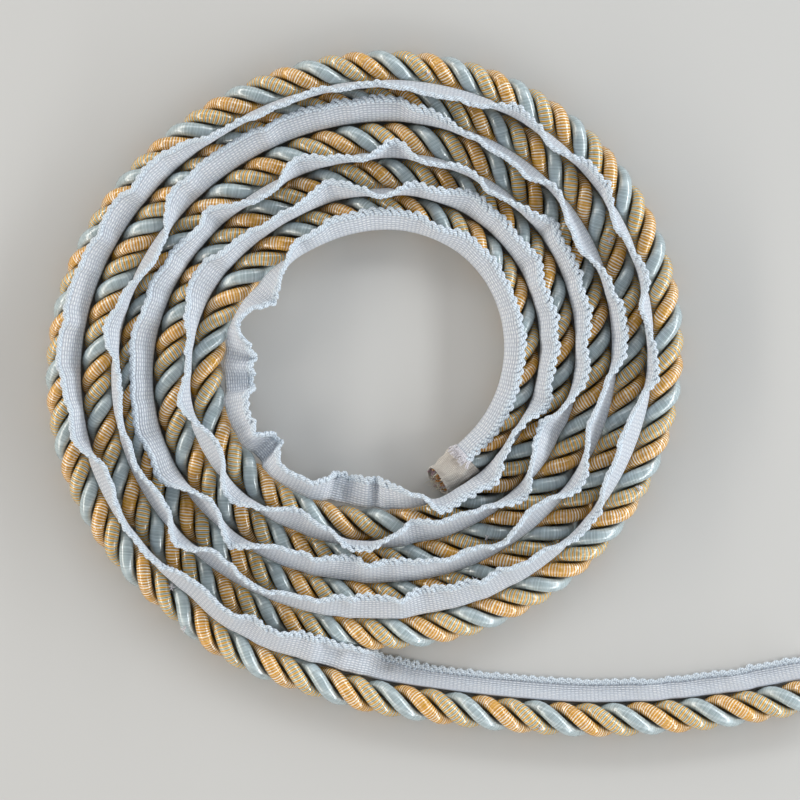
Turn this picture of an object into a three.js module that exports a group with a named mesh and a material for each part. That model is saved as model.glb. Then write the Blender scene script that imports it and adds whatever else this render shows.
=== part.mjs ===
// Flanged cord trim: a three-ply twisted rope with a woven lip along its inner side.
// It lies as a flat coil of almost five turns. The rope starts at a bound inner end, winds
// outwards anticlockwise as seen from above, and leaves the coil as a tail along the front.
// The lip rises out of the groove between two turns. Then it folds out over its own rope,
// stands, or leans in over the next turn, and on the tail it comes down to the surface.
// Millimetres, +Z up, with the origin at the bottom centre of the whole trim's box.

import * as THREE from 'three';

// Rope
const ROPE_RADIUS = 4.75;
const GROOVE_RADIUS = 3.35;
const PLIES = 3;
const LAY = 21;
const STEPS_PER_LAY = 7;
const CROWN_PRESS = 0.15;

// Coil: the radius of the rope's middle grows by one pitch a turn
const PITCH = 10.45;
const FIRST_RADIUS = 41.65;
const START_DEG = -64.5;
const COIL_END_DEG = 232 + 4 * 360;
const COIL_STEP_DEG = 2;
const LENGTH_DIVISIONS = 6000;
const UNEVENNESS = [
  { times: 2, depth: 2.07, deg: 23 },
  { times: 3, depth: 0.63, deg: 68 },
];

// Tail: the rope's middle after it leaves the coil, seen from above, from the coil's centre
const TAIL = [
  [-48.9, -78.3],
  [-34.9, -86.5],
  [-19.4, -92.1],
  [-2.9, -97.1],
  [18.6, -100.6],
  [41.8, -103.2],
  [65.0, -104.4],
  [94.0, -102.6],
  [110.0, -100.3],
  [129.4, -96.6],
];

// Lip
const LIP_WIDTH = 10;
const LIP_THICKNESS = 1;
const LIP_STEP = 6.5;
const LIP_SECTIONS = 4;
const MARCH_STEPS = 24;

// Bound inner end
const CUFF_LENGTH = 11;
const CUFF_WIDTH = 10;
const CUFF_HEIGHT = 9.2;
const CUFF_INWARD = 0.6;
const CUFF_SIDES = 16;
const CUFF_STEPS = 6;
const CUFF_ROUNDING = 0.85;
const CUFF_SLACK = 0.04;

// Between pieces, the room kept between two turns of the lip, and how far off the next
// turn still counts as one
const GAP = 0.3;
const LIP_ROOM = 2;
const NEIGHBOUR_RANGE = 30;

// How the lip's section bends, by how far its free edge lies out from the rope's middle.
// rise is the angle that it leaves the rope at, up from level. root and edge are its slopes
// there and at its free edge, in degrees from upright, with leaning out counted positive.
const POSES = [
  { reach: -14.5, rise: 8, root: -96, edge: -128 },
  { reach: -12.6, rise: 16, root: -34, edge: -104 },
  { reach: -9.6, rise: 20, root: -8, edge: -50 },
  { reach: -5.2, rise: 20, root: 0, edge: 0 },
  { reach: 0.6, rise: 20, root: 10, edge: 65 },
  { reach: 3.4, rise: 20, root: 20, edge: 130 },
];

// The tail's lip, which comes down and lies on the surface, and how far off the coil must
// be for that to begin and to be whole
const LAID = { rise: -4, root: -172, edge: -95 };
const LAID_FROM = 15;
const LAID_FULL = 21;

// The lip's folds: the turn, counted from the outermost one, the direction seen from the
// coil's centre, and how far the free edge lies out from the rope's middle
const FOLDS = [
  { turn: 5, deg: -65, reach: 3.5 },
  { turn: 5, deg: 52, reach: 2.5 },
  { turn: 5, deg: 66, reach: -1 },
  { turn: 5, deg: 82, reach: 3.5 },
  { turn: 5, deg: 100, reach: 3.5 },
  { turn: 5, deg: 122, reach: 0 },
  { turn: 5, deg: 136, reach: -7 },
  { turn: 5, deg: 150, reach: -12.5 },
  { turn: 5, deg: 163, reach: -4 },
  { turn: 5, deg: 186, reach: -14.5 },
  { turn: 5, deg: 207, reach: -8 },
  { turn: 5, deg: 222, reach: -14.5 },
  { turn: 5, deg: 243, reach: -8 },
  { turn: 5, deg: 262, reach: -14 },
  { turn: 4, deg: -82, reach: -12.5 },
  { turn: 4, deg: -72, reach: -10 },
  { turn: 4, deg: -62, reach: 0 },
  { turn: 4, deg: -50, reach: 1 },
  { turn: 4, deg: -29, reach: -4.5 },
  { turn: 4, deg: -12, reach: 0.5 },
  { turn: 4, deg: 60, reach: 1.5 },
  { turn: 4, deg: 78, reach: -1.5 },
  { turn: 4, deg: 88, reach: -6 },
  { turn: 4, deg: 102, reach: 1 },
  { turn: 4, deg: 126, reach: -2 },
  { turn: 4, deg: 155, reach: 3 },
  { turn: 4, deg: 182, reach: -5 },
  { turn: 4, deg: 190, reach: -0.5 },
  { turn: 4, deg: 208, reach: -9.5 },
  { turn: 4, deg: 225, reach: -0.5 },
  { turn: 4, deg: 244, reach: -11 },
  { turn: 4, deg: 266, reach: -2 },
  { turn: 3, deg: -76, reach: -11 },
  { turn: 3, deg: -55, reach: -7 },
  { turn: 3, deg: -43, reach: -0.5 },
  { turn: 3, deg: -26, reach: -11.5 },
  { turn: 3, deg: -4, reach: -1 },
  { turn: 3, deg: 35, reach: 1 },
  { turn: 3, deg: 56, reach: -7 },
  { turn: 3, deg: 65, reach: -2.5 },
  { turn: 3, deg: 75, reach: -6.5 },
  { turn: 3, deg: 85, reach: 1 },
  { turn: 3, deg: 94, reach: -5.5 },
  { turn: 3, deg: 110, reach: 0.5 },
  { turn: 3, deg: 123, reach: -6.5 },
  { turn: 3, deg: 140, reach: 1 },
  { turn: 3, deg: 175, reach: 2.5 },
  { turn: 3, deg: 207, reach: 2 },
  { turn: 3, deg: 221, reach: -8 },
  { turn: 3, deg: 232, reach: -1.5 },
  { turn: 3, deg: 246, reach: -10 },
  { turn: 3, deg: 268, reach: -11 },
  { turn: 2, deg: -66, reach: -9 },
  { turn: 2, deg: -56, reach: -5.5 },
  { turn: 2, deg: -45, reach: -9 },
  { turn: 2, deg: -30, reach: -1 },
  { turn: 2, deg: -17, reach: -9 },
  { turn: 2, deg: 8, reach: 0 },
  { turn: 2, deg: 33, reach: -9 },
  { turn: 2, deg: 44, reach: -3 },
  { turn: 2, deg: 52, reach: -8 },
  { turn: 2, deg: 66, reach: -5 },
  { turn: 2, deg: 87, reach: 3 },
  { turn: 2, deg: 137, reach: 3 },
  { turn: 2, deg: 155, reach: -7.5 },
  { turn: 2, deg: 172, reach: 0.5 },
  { turn: 2, deg: 184, reach: -6 },
  { turn: 2, deg: 202, reach: -5 },
  { turn: 2, deg: 214, reach: -8.5 },
  { turn: 2, deg: 222, reach: -1.5 },
  { turn: 2, deg: 231, reach: -8.5 },
  { turn: 2, deg: 243, reach: -5.5 },
  { turn: 2, deg: 264, reach: -10.5 },
  { turn: 1, deg: -76, reach: -11.5 },
  { turn: 1, deg: -52, reach: -9 },
  { turn: 1, deg: -41, reach: -2.5 },
  { turn: 1, deg: -18, reach: -9.5 },
  { turn: 1, deg: 0, reach: -2 },
  { turn: 1, deg: 11, reach: -7 },
  { turn: 1, deg: 18, reach: -2 },
  { turn: 1, deg: 28, reach: -7 },
  { turn: 1, deg: 38, reach: -1 },
  { turn: 1, deg: 51, reach: -6 },
  { turn: 1, deg: 60, reach: -2 },
  { turn: 1, deg: 72, reach: -8 },
  { turn: 1, deg: 97, reach: -4.5 },
  { turn: 1, deg: 118, reach: -5.5 },
  { turn: 1, deg: 140, reach: 2 },
  { turn: 1, deg: 175, reach: 3 },
  { turn: 1, deg: 194, reach: -0.5 },
  { turn: 1, deg: 204, reach: -8.5 },
  { turn: 1, deg: 216, reach: -3.5 },
  { turn: 1, deg: 234, reach: -9 },
  { turn: 1, deg: 268, reach: -13.5 },
  { turn: 1, deg: 285, reach: -11.4 },
  { turn: 1, deg: 299, reach: -11.4 },
  { turn: 1, deg: 307, reach: -9.6 },
  { turn: 1, deg: 325, reach: -10.2 },
];
const TURNS = 5;

// Materials
const MATERIALS = {
  rope: new THREE.MeshStandardMaterial({ color: 0xb9a77c, roughness: 0.45, metalness: 0 }),
  lip: new THREE.MeshStandardMaterial({ color: 0xc9d3dc, roughness: 0.85, metalness: 0 }),
  cuff: new THREE.MeshStandardMaterial({ color: 0xcfc6b8, roughness: 0.9, metalness: 0 }),
};

const radians = THREE.MathUtils.degToRad;
const mix = THREE.MathUtils.lerp;
const ropeHeight = ROPE_RADIUS - CROWN_PRESS;

// The route of the rope's middle

function coilPoint(deg) {
  let radius = FIRST_RADIUS + (PITCH * deg) / 360;
  for (const { times, depth, deg: towards } of UNEVENNESS) {
    radius += depth * Math.cos(times * radians(deg - towards));
  }
  return new THREE.Vector3(radius * Math.cos(radians(deg)), radius * Math.sin(radians(deg)), 0);
}

function routePoints() {
  const points = [];
  for (let deg = START_DEG; deg < COIL_END_DEG; deg += COIL_STEP_DEG) {
    points.push(coilPoint(deg));
  }
  for (const [x, y] of TAIL) {
    points.push(new THREE.Vector3(x, y, 0));
  }
  return points;
}

// The route as close points with their distance along it and their winding angle
function measureRoute() {
  const curve = new THREE.CatmullRomCurve3(routePoints(), false, 'centripetal');
  curve.arcLengthDivisions = LENGTH_DIVISIONS;
  const length = curve.getLength();
  const count = Math.round(length);
  const points = curve.getSpacedPoints(count);
  let deg = START_DEG;
  const marks = points.map((point, index) => {
    const angle = THREE.MathUtils.radToDeg(Math.atan2(point.y, point.x));
    deg += THREE.MathUtils.euclideanModulo(angle - deg + 180, 360) - 180;
    return { point, deg, along: (index * length) / count };
  });
  return { curve, length, marks };
}

const route = measureRoute();

// The place at a distance along the route: its point, its heading, the direction away
// from the coil's centre square to that heading, and the winding angle there
function placeAt(along) {
  const share = THREE.MathUtils.clamp(along / route.length, 0, 1);
  const point = route.curve.getPointAt(share);
  const heading = route.curve.getTangentAt(share);
  const outward = new THREE.Vector3(heading.y, -heading.x, 0).normalize();
  const last = route.marks.length - 1;
  const index = share * last;
  const low = Math.min(Math.floor(index), last - 1);
  const deg = mix(route.marks[low].deg, route.marks[low + 1].deg, index - low);
  return { point, outward, deg, along };
}

// A point of a section, out from the rope's middle and up from the surface
function inPlace(place, out, height) {
  return [
    place.point.x + out * place.outward.x,
    place.point.y + out * place.outward.y,
    height,
  ];
}

// Closed bodies from rings of points

function closedBody(rings, cap) {
  const sides = rings[0].length;
  const positions = rings.flat(2);
  const faces = [];
  for (let ring = 0; ring + 1 < rings.length; ring += 1) {
    for (let side = 0; side < sides; side += 1) {
      const here = ring * sides + side;
      const next = ring * sides + ((side + 1) % sides);
      faces.push(here, here + sides, next + sides, here, next + sides, next);
    }
  }
  const lastRing = (rings.length - 1) * sides;
  for (const [a, b, c] of cap(sides)) {
    faces.push(a, b, c, lastRing + a, lastRing + c, lastRing + b);
  }
  const body = new THREE.BufferGeometry();
  body.setAttribute('position', new THREE.Float32BufferAttribute(positions, 3));
  body.setIndex(faces);
  return body;
}

// A cap for a rounded ring, as a fan
function fanCap(sides) {
  const faces = [];
  for (let side = 1; side + 1 < sides; side += 1) {
    faces.push([0, side, side + 1]);
  }
  return faces;
}

// A cap for a strip's ring, whose second half comes back along the first
function stripCap(sides) {
  const faces = [];
  for (let side = 0; side + 1 < sides / 2; side += 1) {
    const back = sides - 1 - side;
    faces.push([side, side + 1, back], [side + 1, back - 1, back]);
  }
  return faces;
}

// Rope: crowns and grooves as columns that turn about the rope's middle, right-handed

function ropeRing(place) {
  const ring = [];
  const columns = 2 * PLIES;
  for (let column = 0; column < columns; column += 1) {
    const radius = column % 2 === 0 ? ROPE_RADIUS : GROOVE_RADIUS;
    const turn = 2 * Math.PI * (column / columns - place.along / LAY);
    const height = Math.max(ropeHeight + radius * Math.sin(turn), 0);
    ring.push(inPlace(place, radius * Math.cos(turn), height));
  }
  return ring;
}

function ropeBody() {
  const start = CUFF_LENGTH + GAP;
  const steps = Math.round(((route.length - start) / LAY) * STEPS_PER_LAY);
  const rings = [];
  for (let step = 0; step <= steps; step += 1) {
    rings.push(ropeRing(placeAt(mix(start, route.length, step / steps))));
  }
  return closedBody(rings, fanCap);
}

// Lip

const lipClear = ROPE_RADIUS + GAP + LIP_THICKNESS / 2;

// The distance to the next turn on the given side, 1 for out and -1 for in, if it is near
function neighbourDistance(place, side) {
  let nearest = Infinity;
  for (const mark of route.marks) {
    const offset = mark.point.clone().sub(place.point);
    const distance = offset.length();
    const elsewhere = Math.abs(mark.along - place.along) > NEIGHBOUR_RANGE;
    if (elsewhere && distance < NEIGHBOUR_RANGE && offset.dot(place.outward) * side > 0) {
      nearest = Math.min(nearest, distance);
    }
  }
  return nearest;
}

const foldMarks = FOLDS.map(({ turn, deg, reach }) => ({
  deg: deg + 360 * (TURNS - turn),
  reach,
}));

function foldReach(deg) {
  const above = foldMarks.findIndex((fold) => fold.deg >= deg);
  if (above <= 0) {
    return above === 0 ? foldMarks[0].reach : foldMarks[foldMarks.length - 1].reach;
  }
  const low = foldMarks[above - 1];
  const high = foldMarks[above];
  return mix(low.reach, high.reach, THREE.MathUtils.smoothstep(deg, low.deg, high.deg));
}

// An edge that folds out stops short of the next turn's lip where that one leans in
function freeReach(place, outer) {
  const reach = foldReach(place.deg);
  return Math.min(reach, foldReach(place.deg + 360) + outer - LIP_ROOM);
}

// On the tail the lip comes down to the surface once the coil leaves it room
function poseFor(place, reach, inner) {
  const last = POSES.length - 1;
  const within = THREE.MathUtils.clamp(reach, POSES[0].reach, POSES[last].reach);
  const above = Math.max(1, POSES.findIndex((pose) => pose.reach >= within));
  const low = POSES[above - 1];
  const high = POSES[above];
  const share = (within - low.reach) / (high.reach - low.reach);
  const onTail = place.deg > COIL_END_DEG;
  const laid = onTail ? THREE.MathUtils.smoothstep(inner, LAID_FROM, LAID_FULL) : 0;
  const bend = (key) => mix(mix(low[key], high[key], share), LAID[key], laid);
  return { rise: bend('rise'), root: bend('root'), edge: bend('edge') };
}

// Moves a point of the lip's middle off the ropes beside it and up from the surface
function clearOf(point, ropes) {
  for (const rope of ropes) {
    const out = point.x - rope;
    const up = point.y - ropeHeight;
    const distance = Math.hypot(out, up);
    if (distance < lipClear) {
      point.x = rope + (out * lipClear) / distance;
      point.y = ropeHeight + (up * lipClear) / distance;
    }
  }
  point.y = Math.max(point.y, LIP_THICKNESS / 2);
}

// The lip's middle in one section, from its root to its free edge
function lipMiddle(place) {
  const inner = neighbourDistance(place, -1);
  const outer = neighbourDistance(place, 1);
  const pose = poseFor(place, freeReach(place, outer), inner);
  const wedge = Math.acos(Math.min(1, inner / 2 / lipClear));
  const rise = Math.max(radians(pose.rise), wedge);
  const ropes = [0, -inner, outer].filter(Number.isFinite);
  const point = new THREE.Vector2(-lipClear * Math.cos(rise), ropeHeight + lipClear * Math.sin(rise));
  const middle = [point.clone()];
  const stride = LIP_WIDTH / MARCH_STEPS;
  for (let step = 0; step < MARCH_STEPS; step += 1) {
    const slope = radians(mix(pose.root, pose.edge, (step + 0.5) / MARCH_STEPS));
    const before = point.clone();
    point.x += stride * Math.sin(slope);
    point.y += stride * Math.cos(slope);
    clearOf(point, ropes);
    point.sub(before).setLength(stride).add(before);
    clearOf(point, ropes);
    if ((step + 1) % (MARCH_STEPS / LIP_SECTIONS) === 0) {
      middle.push(point.clone());
    }
  }
  return middle;
}

// The ring of one section: the face towards its own rope from root to edge, then the other
// face back
function lipRing(place) {
  const middle = lipMiddle(place);
  const faces = middle.map((point, index) => {
    const before = middle[Math.max(index - 1, 0)];
    const after = middle[Math.min(index + 1, middle.length - 1)];
    const along = after.clone().sub(before).setLength(LIP_THICKNESS / 2);
    return {
      near: inPlace(place, point.x + along.y, Math.max(point.y - along.x, 0)),
      far: inPlace(place, point.x - along.y, Math.max(point.y + along.x, 0)),
    };
  });
  return [...faces.map((face) => face.near), ...faces.reverse().map((face) => face.far)];
}

function lipBody() {
  const start = CUFF_LENGTH + GAP;
  const steps = Math.round((route.length - start) / LIP_STEP);
  const rings = [];
  for (let step = 0; step <= steps; step += 1) {
    rings.push(lipRing(placeAt(mix(start, route.length, step / steps))));
  }
  return closedBody(rings, stripCap);
}

// Bound inner end: a flattened cuff over the rope's cut end, a little slack and uneven

function cuffRing(along) {
  const place = placeAt(along);
  const slack = 1 + CUFF_SLACK * Math.sin((3 * Math.PI * along) / CUFF_LENGTH);
  const ring = [];
  for (let side = 0; side < CUFF_SIDES; side += 1) {
    const turn = (2 * Math.PI * side) / CUFF_SIDES;
    const soften = (value) => Math.sign(value) * Math.abs(value) ** CUFF_ROUNDING;
    const out = (CUFF_WIDTH / 2) * slack * soften(Math.cos(turn)) - CUFF_INWARD;
    const up = (CUFF_HEIGHT / 2) * (1 + slack * soften(Math.sin(turn))) - CROWN_PRESS;
    ring.push(inPlace(place, out, Math.max(up, 0)));
  }
  return ring;
}

function cuffBody() {
  const rings = [];
  for (let step = 0; step <= CUFF_STEPS; step += 1) {
    rings.push(cuffRing((CUFF_LENGTH * step) / CUFF_STEPS));
  }
  return closedBody(rings, fanCap);
}

// The whole trim, with its origin moved to the bottom centre

function named(name, geometry, material) {
  const mesh = new THREE.Mesh(geometry, material);
  mesh.name = name;
  return mesh;
}

const trim = new THREE.Group();
trim.add(
  named('cord', ropeBody(), MATERIALS.rope),
  named('lip', lipBody(), MATERIALS.lip),
  named('end_cuff', cuffBody(), MATERIALS.cuff),
);

const box = new THREE.Box3().setFromObject(trim);
const middle = box.getCenter(new THREE.Vector3());
trim.position.set(-middle.x, -middle.y, -box.min.z);
trim.updateMatrixWorld(true);

export default trim;
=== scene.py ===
"""Flanged cord trim lying as a flat coil, seen from straight above.

The rope is three satin-wrapped plies twisted together, the lip is a thin woven tape along
its inner side with a looped edge, and a gauze cuff binds the rope's inner end.
Lengths are in metres unless a name ends in _MM, and +Z is up.
"""
import math

import bpy
import numpy as np
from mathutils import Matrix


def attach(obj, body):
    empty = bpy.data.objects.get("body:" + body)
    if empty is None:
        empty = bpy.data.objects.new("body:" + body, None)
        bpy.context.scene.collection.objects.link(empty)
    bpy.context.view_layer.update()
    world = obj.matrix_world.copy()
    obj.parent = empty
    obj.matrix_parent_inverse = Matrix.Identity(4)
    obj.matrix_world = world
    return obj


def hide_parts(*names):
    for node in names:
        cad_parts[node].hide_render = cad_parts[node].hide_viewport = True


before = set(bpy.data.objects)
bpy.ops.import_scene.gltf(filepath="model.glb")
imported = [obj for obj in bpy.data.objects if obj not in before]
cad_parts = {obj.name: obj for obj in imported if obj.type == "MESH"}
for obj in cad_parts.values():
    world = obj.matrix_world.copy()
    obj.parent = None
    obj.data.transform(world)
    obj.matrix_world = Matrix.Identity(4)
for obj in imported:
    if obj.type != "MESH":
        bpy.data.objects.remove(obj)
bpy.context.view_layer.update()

MM = 0.001
TINY = 1e-12

# Rope: three plies PLY_OFFSET from its middle, which turn once about it in LAY
PLY_RADIUS = 2.1 * MM
PLY_OFFSET = 2.9 * MM
ROPE_RADIUS = PLY_RADIUS + PLY_OFFSET
ROPE_HEIGHT = 4.95 * MM
LAY = 21 * MM
ROPE_RINGS_PER_LAY = 20
PLY_SIDES = 14
ROPE_START = 9.5 * MM

# The cuff draws the plies in by BOUND_SQUEEZE, less and less over BOUND_LENGTH, and the
# tail's cut end narrows to TAIL_TIP of a ply's radius over TAIL_ROUNDING
BOUND_SQUEEZE = 0.12
BOUND_LENGTH = 3 * MM
TAIL_TIP = 0.6
TAIL_ROUNDING = 1.4 * MM

# How far the blue ply has turned beyond a steady twist, by distance along the rope:
# millimetres and degrees. The hand-laid rope is twisted tighter in some stretches.
TWIST = [
    (0, -85), (60, -45), (135, -95), (180, -55), (240, -50), (300, 55), (370, 105),
    (480, 10), (600, -80), (720, -65), (870, -130), (1020, -270), (1080, -260),
    (1140, -320), (1260, -475), (1380, -710), (1500, -820), (1680, -790), (1740, -875),
    (1800, -880), (1950, -1010), (2040, -885), (2170, -700),
]

# Route of the rope's middle, in millimetres from the coil's centre
COIL_CENTRE = np.array([-17.233, 9.697]) * MM
PITCH_MM = 10.45
FIRST_RADIUS_MM = 41.65
START_DEG = -64.5
COIL_END_DEG = 232 + 4 * 360
COIL_STEP_DEG = 2.0
TAIL_MM = [
    (-48.9, -78.3), (-34.9, -86.5), (-19.4, -92.1), (-2.9, -97.1), (18.6, -100.6),
    (41.8, -103.2), (65.0, -104.4), (94.0, -102.6), (110.0, -100.3), (129.4, -96.6),
]
POINTS_PER_SPAN = 24
MARK_SPACING = 0.5 * MM

# How the coil differs from an even spiral: waves a turn, depth in millimetres and the
# direction of a crest, then how far its inner end swings outward and over what angle
UNEVENNESS = [(2, 2.07, 23), (3, 0.63, 68)]
END_SWING_MM = 1.9
END_SWING_DEG = 26

# Lip: its whole width with the loops, and the width that is woven
LIP_WIDTH = 10.2 * MM
WOVEN_WIDTH = 8.1 * MM
LIP_THICKNESS = 0.5 * MM
LIP_START = 11.6 * MM
LIP_STEP = 1.15 * MM
LIP_COLUMNS = 9
LIP_GAP = 0.15 * MM
LIP_ROOM = 1.6 * MM
NEIGHBOUR_RANGE = 30 * MM
NEIGHBOUR_STEP = 4
FAR_OFF = 10.0
MARCH_STEPS = 51

# Small waves of the lip's free edge: depth and length in millimetres, and phase
RUFFLES = [(0.55, 23.0, 0.3), (0.4, 14.3, 1.9), (0.22, 8.7, 4.1), (0.12, 5.3, 0.7)]

# How far the lip bellies off the rope on the hole side, reached within SLACK_STEPS, and
# its waves: share of SLACK_DEPTH, millimetres a radian, and phase
SLACK = 0.9 * MM
SLACK_DEPTH = 0.1 * MM
SLACK_WAVES = [(1.0, 2.1, 0), (0.6, 1.27, 1), (1.0, 5.0, 0)]
SLACK_STEPS = 16

# Looped edge of the lip
LOOP_SPACING = 2.65 * MM
LOOP_HEIGHT = 1.6 * MM
FILLING_HEIGHT = 0.9 * MM
LOOP_SWELL = -0.09
LOOP_LEAN = 0.04
LOOP_YARN_RADIUS = 0.57 * MM
LOOP_FOOT = 0.9 * MM
LOOP_FACE_SWING = 0.27 * MM
LOOP_POINTS = 11
LOOP_SIDES = 5

# How much single loops differ in height, lean and lift
TALL_SPREAD = 0.14
LEAN_SPREAD = 0.08
LIFT_SPREAD = 0.15 * MM

# Pressed loops lose PRESSED_SHARE of their height, and PRESSED_TAIL of that on the tail.
# Each pair is where the pressing starts or ends and where it is full: degrees round the
# coil, how far the lip's edge lies out from its root, and radius
PRESSED_SHARE = 0.5
PRESSED_TAIL = 0.7
PRESSED_FROM_DEG = (95, 120)
PRESSED_TO_DEG = (215, 240)
PRESSED_OUTWARD = (-2 * MM, 1 * MM)
PRESSED_TAIL_RADIUS = (92 * MM, 100 * MM)

# Cuff: CUFF_MOUTH is the share of its size that it keeps at its mouth, CUFF_INWARD is how
# far its middle lies in from the rope's, and its top leans back by CUFF_SLANT
CUFF_BEFORE = 0.4 * MM
CUFF_PAST = 0.3 * MM
CUFF_LENGTH = 12 * MM
CUFF_WIDTH = 10.4 * MM
CUFF_MOUTH = 0.86
CUFF_HEIGHT = 9.9 * MM
CUFF_INWARD = 0.6 * MM
CUFF_SLANT = 3.4 * MM
CUFF_SQUARENESS = 0.85
GAUZE_THICKNESS = 0.35 * MM

# Loose ends: yarns packed in the cuff's mouth, hairs among them, and threads of the tape
MOUTH_RADIUS = 3.75 * MM
SUNFLOWER_DEG = 137.5
YARN_COUNT = 60
YARN_RADIUS_MM = 0.33
HAIR_COUNT = 26
HAIR_RADIUS_MM = 0.05
FRAY_COUNT = 110
FRAY_RADIUS = 0.16 * MM
FRAY_STATION = 0.7
FRAY_LIFT = 0.35 * MM

# Tufts caught on the rope: distance along it and out from its middle, both in
# millimetres, and how many fibres
TUFTS = [
    (1583, 2.0, 5), (1164, 0.5, 9), (1046, 0.0, 3), (1968, -3.0, 7), (1979, 4.0, 5),
    (2085, 3.0, 4), (640, 1.0, 3), (1740, -1.5, 3), (905, 1.5, 3),
]
TUFT_RADIUS = 0.12 * MM
TUFT_SINK = 0.96

# Satin: the fine ribs of its yarn in millimetres, and how softly its bands meet, as a
# share of a wind
RIB_SPACING_MM = 0.31
RIB_WANDER = 0.6
BAND_BLUR = 0.07
SATIN_COAT_ROUGHNESS = 0.11

# Camera: straight above, with the middle of the picture over this place
VIEW_CENTRE = np.array([-10.2, -1.9]) * MM
VIEW_WIDTH = 0.232
CAMERA_HEIGHT = 1.0
SENSOR_WIDTH_MM = 36

# Lights: distance from the middle, height, width and length, watts, tint, and direction
# in degrees
LIGHTS = {
    "Key": (0.85, 0.42, 0.12, 3.0, 17.5, (0.94, 0.98, 1.0), 0),
    "Fill": (0.85, 0.42, 0.12, 3.0, 13, (1.0, 0.95, 0.87), 180),
    "Back": (0.8, 0.65, 0.2, 1.8, 4, (0.95, 0.98, 1.0), 90),
    "Front": (0.8, 0.65, 0.2, 1.8, 2.8, (1.0, 0.98, 0.94), 270),
}
SKY_TINT = (0.92, 0.95, 1.0, 1)
SKY_STRENGTH = 0.19
FLOOR_SIZE = 6

# How the lip's section bends, by how far its free edge lies out from the rope's middle:
# reach in millimetres, rise off level where it leaves the rope, and its slopes from
# upright at its root and at its edge, in degrees, out counted positive
POSES = np.array([
    (-14.5, 4, -100, -128),
    (-12.6, 26, -42, -102),
    (-9.6, 40, -50, -16),
    (-5.2, 40, -50, 38),
    (0.6, 12, -12, 98),
    (3.4, 12, 20, 130),
])

# Where no turn lies on the lip's inner side within LAID_FROM to LAID_FULL, the tail's lip
# lies flat: its slopes at root and edge, and the least and most sine of its rise
LAID_SLOPES = (-172, -95)
LAID_SINES = (-0.7, 0.5)
LAID_FROM = 15 * MM
LAID_FULL = 21 * MM

# The lip's folds in each turn, counted inwards from the outermost one: direction round
# the coil in degrees and reach of the free edge in millimetres
FOLDS = {
    5: [(-65, 3.5), (52, 2.5), (66, -1), (82, 3.5), (100, 3.5), (122, 0), (131, -4.2),
        (136, -6), (142, -10), (148, -11.6), (152, -10.5), (156, -7.5), (160, -6.2),
        (166, -6), (171, -10.7), (176, -13.5), (186, -14.5), (191, -14), (196, -10.9),
        (202, -10.2), (211, -10.9), (219, -14.5), (221.5, -14), (224, -10.5), (228, -9.2),
        (235, -8.8), (245, -9.9), (249, -11.2), (252, -13.6), (262, -14.5), (269, -13.4)],
    4: [(-86, -12.1), (-79, -10.1), (-74, -7.9), (-67, -1), (-50, 1), (-29, -4.5),
        (-12, 0.5), (60, 1.5), (78, -1.5), (88, -6), (102, 1), (126, -2), (155, 3),
        (182, -5), (190, -0.5), (208, -9.5), (225, -0.5), (244, -11), (266, -2)],
    3: [(-76, -11), (-55, -7), (-43, -0.5), (-26, -11.5), (-4, -1), (35, 1), (56, -7),
        (65, -2.5), (75, -6.5), (85, 1), (94, -5.5), (110, 0.5), (123, -6.5), (140, 1),
        (175, 2.5), (207, 2), (221, -8), (232, -1.5), (246, -10), (268, -11)],
    2: [(-66, -9), (-56, -5.5), (-45, -9), (-30, -1), (-17, -9), (8, 0), (33, -9),
        (44, -3), (52, -8), (66, -5), (87, 3), (137, 3), (155, -7.5), (172, 0.5),
        (184, -6), (202, -5), (214, -8.5), (222, -1.5), (231, -8.5), (243, -5.5),
        (264, -10.5)],
    1: [(-76, -11.5), (-52, -9), (-41, -2.5), (-18, -9.5), (0, -2), (11, -7), (18, -2),
        (28, -7), (38, -1), (51, -6), (60, -2), (72, -8), (97, -4.5), (118, -5.5),
        (140, 2), (175, 3), (194, -0.5), (204, -8.5), (216, -3.5), (234, -9),
        (268, -13.5), (285, -11.4), (299, -11.4), (307, -9.6), (325, -10.2)],
}
TURNS = 5


# Camera

def look_straight_down():
    """Camera over VIEW_CENTRE whose frame is VIEW_WIDTH across at the rope's middle."""
    data = bpy.data.cameras.new("Camera")
    data.sensor_width = SENSOR_WIDTH_MM
    data.lens = data.sensor_width * (CAMERA_HEIGHT - ROPE_HEIGHT) / VIEW_WIDTH
    camera = bpy.data.objects.new("Camera", data)
    camera.location = (*VIEW_CENTRE, CAMERA_HEIGHT)
    bpy.context.collection.objects.link(camera)
    bpy.context.scene.camera = camera


# Route

def coil_points():
    """Spiral whose radius grows by one pitch a turn, plus the unevenness as cosines. The
    inner end swings outward by the square of what is left of its range."""
    deg = np.arange(START_DEG, COIL_END_DEG, COIL_STEP_DEG)
    radius = FIRST_RADIUS_MM + PITCH_MM * deg / 360
    for times, depth, towards in UNEVENNESS:
        radius = radius + depth * np.cos(times * np.radians(deg - towards))
    still_swung = np.clip(1 - (deg - START_DEG) / END_SWING_DEG, 0, 1)
    radius = radius + END_SWING_MM * still_swung**2
    angle = np.radians(deg)
    return np.stack([radius * np.cos(angle), radius * np.sin(angle)], 1)


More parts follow.
